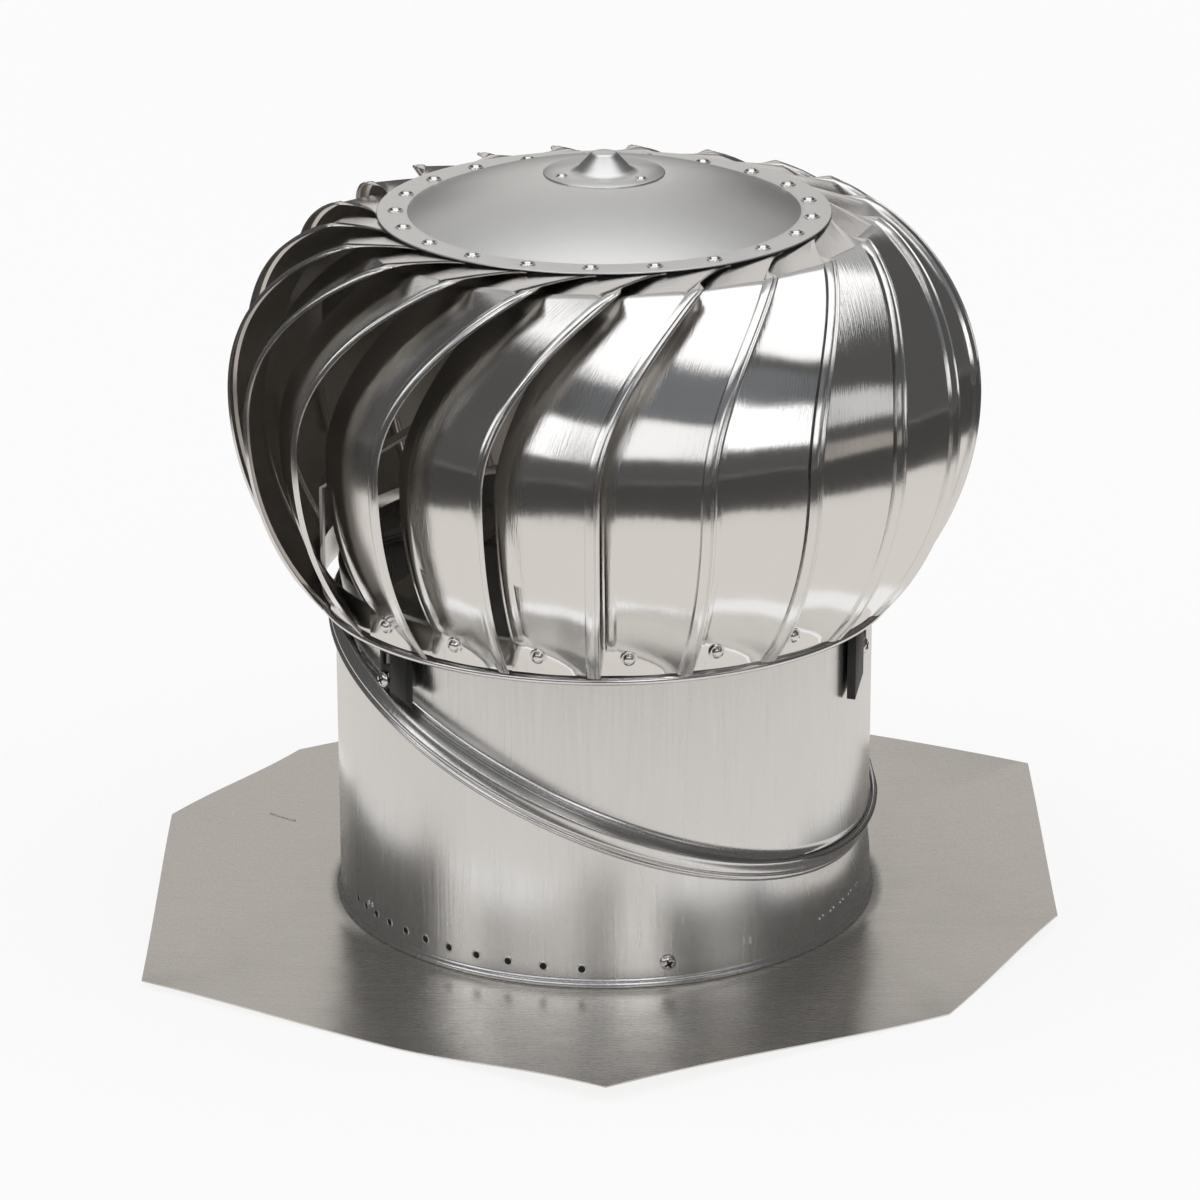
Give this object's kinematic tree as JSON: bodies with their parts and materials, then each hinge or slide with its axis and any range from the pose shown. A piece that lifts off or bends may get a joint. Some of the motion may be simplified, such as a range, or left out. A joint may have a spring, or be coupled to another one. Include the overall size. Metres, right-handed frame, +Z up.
{
  "type": "turbine roof vent",
  "caption": "Turbine roof vent: overlapping curved blades on a domed head spin above a collar that swivels on a slanted seam over a flat hexagonal roof flashing, open through its throat",
  "frame": {"origin": "on the throat's axis, level with the underside of the flashing", "axes": "+Z up the throat and the rotor's shaft, +X to the right and +Y away from the viewer in the picture"},
  "size_m": [0.518, 0.5982, 0.4398],
  "materials": {
    "aluminium": "bright mill-finish sheet, brushed along its length",
    "flashing_sheet": "dull satin sheet",
    "collar_sheet": "satin sheet brushed upright",
    "bracket_plastic": "moulded black",
    "screw_zinc": "zinc plated",
    "shaft_steel": "turned steel",
    "bearing_bush": "pale nylon",
    "brace_strip": "mill-finish strip"
  },
  "bodies": {
    "base": {"flashing": "flashing_sheet", "throat_ring": "collar_sheet", "lower_collar": "collar_sheet", "lock_screw": "screw_zinc"},
    "neck": {"upper_collar": "collar_sheet", "bracket_1": "bracket_plastic", "bracket_2": "bracket_plastic", "bracket_3": "bracket_plastic", "bracket_screws": "screw_zinc", "brace_leg_1": "brace_strip", "brace_leg_2": "brace_strip", "brace_leg_3": "brace_strip", "bearing_tube": "shaft_steel", "lower_bearing": "bearing_bush", "upper_bearing": "bearing_bush", "hub_bolts": "screw_zinc"},
    "rotor": {"top_plate": "aluminium", "bearing_cap": "aluminium", "cap_rivets": "aluminium", "plate_rivets": "aluminium", "ring_rivets": "aluminium", "bottom_ring": "aluminium", "blade_01": "aluminium", "blade_02": "aluminium", "blade_03": "aluminium", "blade_04": "aluminium", "blade_05": "aluminium", "blade_06": "aluminium", "blade_07": "aluminium", "blade_08": "aluminium", "blade_09": "aluminium", "blade_10": "aluminium", "blade_11": "aluminium", "blade_12": "aluminium", "blade_13": "aluminium", "blade_14": "aluminium", "blade_15": "aluminium", "blade_16": "aluminium", "blade_17": "aluminium", "blade_18": "aluminium", "blade_19": "aluminium", "blade_20": "aluminium", "blade_21": "aluminium", "shaft": "shaft_steel", "thrust_collar": "shaft_steel", "shaft_nut": "screw_zinc", "arm_hub": "shaft_steel", "rotor_arm_1": "brace_strip", "rotor_arm_2": "brace_strip", "rotor_arm_3": "brace_strip", "arm_bolts": "screw_zinc"}
  },
  "joints": [
    {"name": "pitch_swivel", "type": "hinge", "parent": "base", "child": "neck", "pos_m": [0, 0, 0.1177], "axis": [0.3841, -0.1338, 0.9135], "continuous": true},
    {"name": "rotor_spin", "type": "hinge", "parent": "neck", "child": "rotor", "pos_m": [0, 0, 0.3], "axis": [0, 0, 1], "continuous": true}
  ]
}
